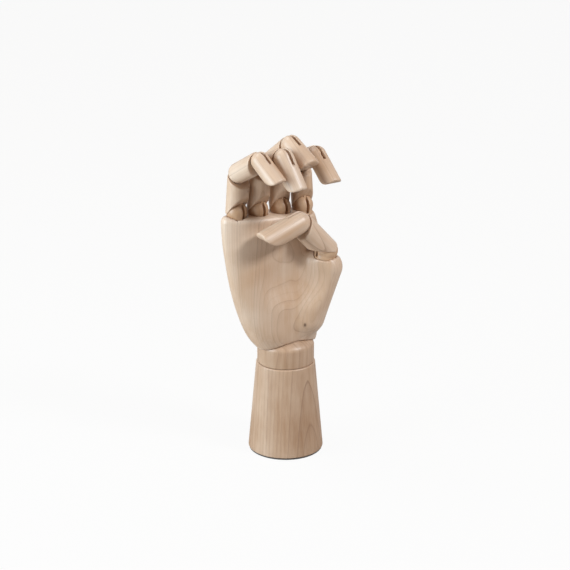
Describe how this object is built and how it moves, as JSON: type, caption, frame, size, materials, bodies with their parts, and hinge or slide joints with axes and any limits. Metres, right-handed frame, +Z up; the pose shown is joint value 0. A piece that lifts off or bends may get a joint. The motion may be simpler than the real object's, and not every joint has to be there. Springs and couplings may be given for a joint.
{
  "type": "wooden hand mannequin",
  "caption": "Articulated wooden artist's hand on a tapered round base, with jointed fingers and thumb, turning knuckles and a spring-held wrist that tilts and turns.",
  "frame": {"origin": "centre of the underside of the base, on the surface that the hand stands on", "axes": "+Z up along the base; the palm faces -Y and the thumb is on the +X side of the palm"},
  "size_m": [0.0936, 0.0807, 0.2631],
  "materials": {
    "wood": "satin",
    "steel": "satin",
    "brass": "satin",
    "felt": "matte"
  },
  "bodies": {
    "base_body": {"base": "wood", "base_pad": "felt"},
    "wrist_body": {"wrist_disc": "wood"},
    "washer_body": {"cup_washer": "steel"},
    "bolt_body": {"draw_bolt": "steel", "tension_spring": "steel", "spring_cup": "steel"},
    "palm_body": {"palm": "wood", "palm_insert": "brass"},
    "little_knuckle_body": {"little_knuckle": "wood", "little_knuckle_pin": "steel"},
    "little_proximal_body": {"little_proximal": "wood", "little_knuckle_tongue": "wood", "little_middle_tongue": "wood"},
    "little_intermediate_body": {"little_intermediate": "wood", "little_middle_pin": "steel", "little_tip_tongue": "wood"},
    "little_distal_body": {"little_distal": "wood", "little_tip_pin": "steel"},
    "ring_knuckle_body": {"ring_knuckle": "wood", "ring_knuckle_pin": "steel"},
    "ring_proximal_body": {"ring_proximal": "wood", "ring_knuckle_tongue": "wood", "ring_middle_tongue": "wood"},
    "ring_intermediate_body": {"ring_intermediate": "wood", "ring_middle_pin": "steel", "ring_tip_tongue": "wood"},
    "ring_distal_body": {"ring_distal": "wood", "ring_tip_pin": "steel"},
    "middle_knuckle_body": {"middle_knuckle": "wood", "middle_knuckle_pin": "steel"},
    "middle_proximal_body": {"middle_proximal": "wood", "middle_knuckle_tongue": "wood", "middle_middle_tongue": "wood"},
    "middle_intermediate_body": {"middle_intermediate": "wood", "middle_middle_pin": "steel", "middle_tip_tongue": "wood"},
    "middle_distal_body": {"middle_distal": "wood", "middle_tip_pin": "steel"},
    "index_knuckle_body": {"index_knuckle": "wood", "index_knuckle_pin": "steel"},
    "index_proximal_body": {"index_proximal": "wood", "index_knuckle_tongue": "wood", "index_middle_tongue": "wood"},
    "index_intermediate_body": {"index_intermediate": "wood", "index_middle_pin": "steel", "index_tip_tongue": "wood"},
    "index_distal_body": {"index_distal": "wood", "index_tip_pin": "steel"},
    "thumb_knuckle_body": {"thumb_knuckle": "wood", "thumb_knuckle_pin": "steel"},
    "thumb_proximal_body": {"thumb_proximal": "wood", "thumb_knuckle_tongue": "wood", "thumb_tip_tongue": "wood"},
    "thumb_distal_body": {"thumb_distal": "wood", "thumb_tip_pin": "steel"}
  },
  "joints": [
    {"name": "wrist_disc_turn", "type": "hinge", "parent": "base_body", "child": "wrist_body", "pos_m": [0, 0, 0.0748], "axis": [0, 0, 1], "continuous": true},
    {"name": "wrist_tilt_sideways", "type": "hinge", "parent": "base_body", "child": "washer_body", "pos_m": [0, 0, 0.07047], "axis": [0, 1, 0], "range_deg": [-10, 10]},
    {"name": "wrist_tilt_forward", "type": "hinge", "parent": "washer_body", "child": "bolt_body", "pos_m": [0, 0, 0.07047], "axis": [1, 0, 0], "range_deg": [-10, 10]},
    {"name": "palm_turn", "type": "hinge", "parent": "bolt_body", "child": "palm_body", "pos_m": [0, 0, 0.10047], "axis": [0, 0, 1], "continuous": true},
    {"name": "little_knuckle_turn", "type": "hinge", "parent": "palm_body", "child": "little_knuckle_body", "pos_m": [-0.0432, 0, 0.20532], "axis": [0, 0, 1], "range_deg": [-10, 0.6]},
    {"name": "little_base_bend", "type": "hinge", "parent": "little_knuckle_body", "child": "little_proximal_body", "pos_m": [-0.0432, 0, 0.20532], "axis": [0.9588, 0.284, 0], "range_deg": [-8.2, 50.8]},
    {"name": "little_middle_bend", "type": "hinge", "parent": "little_proximal_body", "child": "little_intermediate_body", "pos_m": [-0.04239, -0.00274, 0.23669], "axis": [0.9588, 0.284, 0], "range_deg": [-53.3, 26.7]},
    {"name": "little_tip_bend", "type": "hinge", "parent": "little_intermediate_body", "child": "little_distal_body", "pos_m": [-0.03597, -0.0244, 0.25053], "axis": [0.9588, 0.284, 0], "range_deg": [-70.4, 11.6]},
    {"name": "ring_knuckle_turn", "type": "hinge", "parent": "palm_body", "child": "ring_knuckle_body", "pos_m": [-0.0248, 0, 0.20416], "axis": [0, 0, 1], "range_deg": [-0.6, 1.9]},
    {"name": "ring_base_bend", "type": "hinge", "parent": "ring_knuckle_body", "child": "ring_proximal_body", "pos_m": [-0.0248, 0, 0.20416], "axis": [0.9711, 0.2385, 0], "range_deg": [-12.5, 51]},
    {"name": "ring_middle_bend", "type": "hinge", "parent": "ring_proximal_body", "child": "ring_intermediate_body", "pos_m": [-0.02405, -0.00306, 0.24022], "axis": [0.9711, 0.2385, 0], "range_deg": [-62.5, 17.5]},
    {"name": "ring_tip_bend", "type": "hinge", "parent": "ring_intermediate_body", "child": "ring_distal_body", "pos_m": [-0.01788, -0.02819, 0.25094], "axis": [0.9711, 0.2385, 0], "range_deg": [-79, 3]},
    {"name": "middle_knuckle_turn", "type": "hinge", "parent": "palm_body", "child": "middle_knuckle_body", "pos_m": [-0.0046, 0, 0.20289], "axis": [0, 0, 1], "range_deg": [-1.2, 4.2]},
    {"name": "middle_base_bend", "type": "hinge", "parent": "middle_knuckle_body", "child": "middle_proximal_body", "pos_m": [-0.0046, 0, 0.20289], "axis": [0.9885, 0.1513, 0], "range_deg": [-0.5, 67.5]},
    {"name": "middle_middle_bend", "type": "hinge", "parent": "middle_proximal_body", "child": "middle_intermediate_body", "pos_m": [-0.00573, 0.00741, 0.23974], "axis": [0.9885, 0.1513, 0], "range_deg": [-64.4, 15.6]},
    {"name": "middle_tip_bend", "type": "hinge", "parent": "middle_intermediate_body", "child": "middle_distal_body", "pos_m": [-0.00262, -0.01293, 0.2553], "axis": [0.9885, 0.1513, 0], "range_deg": [-65.2, 16.8]},
    {"name": "index_knuckle_turn", "type": "hinge", "parent": "palm_body", "child": "index_knuckle_body", "pos_m": [0.0152, 0, 0.20164], "axis": [0, 0, 1], "range_deg": [-1, 5.5]},
    {"name": "index_base_bend", "type": "hinge", "parent": "index_knuckle_body", "child": "index_proximal_body", "pos_m": [0.0152, 0, 0.20164], "axis": [0.9982, 0.0593, 0], "range_deg": [-4, 62]},
    {"name": "index_middle_bend", "type": "hinge", "parent": "index_proximal_body", "child": "index_intermediate_body", "pos_m": [0.01499, 0.00361, 0.23605], "axis": [0.9982, 0.0593, 0], "range_deg": [-72, 8]},
    {"name": "index_tip_bend", "type": "hinge", "parent": "index_intermediate_body", "child": "index_distal_body", "pos_m": [0.01634, -0.01919, 0.24622], "axis": [0.9982, 0.0593, 0], "range_deg": [-64, 18]},
    {"name": "thumb_knuckle_turn", "type": "hinge", "parent": "palm_body", "child": "thumb_knuckle_body", "pos_m": [0.024, -0.0215, 0.169], "axis": [0.2079, 0, 0.9781], "range_deg": [-2, 180]},
    {"name": "thumb_base_bend", "type": "hinge", "parent": "thumb_knuckle_body", "child": "thumb_proximal_body", "pos_m": [0.024, -0.0215, 0.169], "axis": [0.0512, -0.9986, -0.0109], "range_deg": [-55, 5]},
    {"name": "thumb_tip_bend", "type": "hinge", "parent": "thumb_proximal_body", "child": "thumb_distal_body", "pos_m": [-0.00119, -0.02309, 0.19605], "axis": [0.0512, -0.9986, -0.0109], "range_deg": [-64.5, 9.5]}
  ]
}
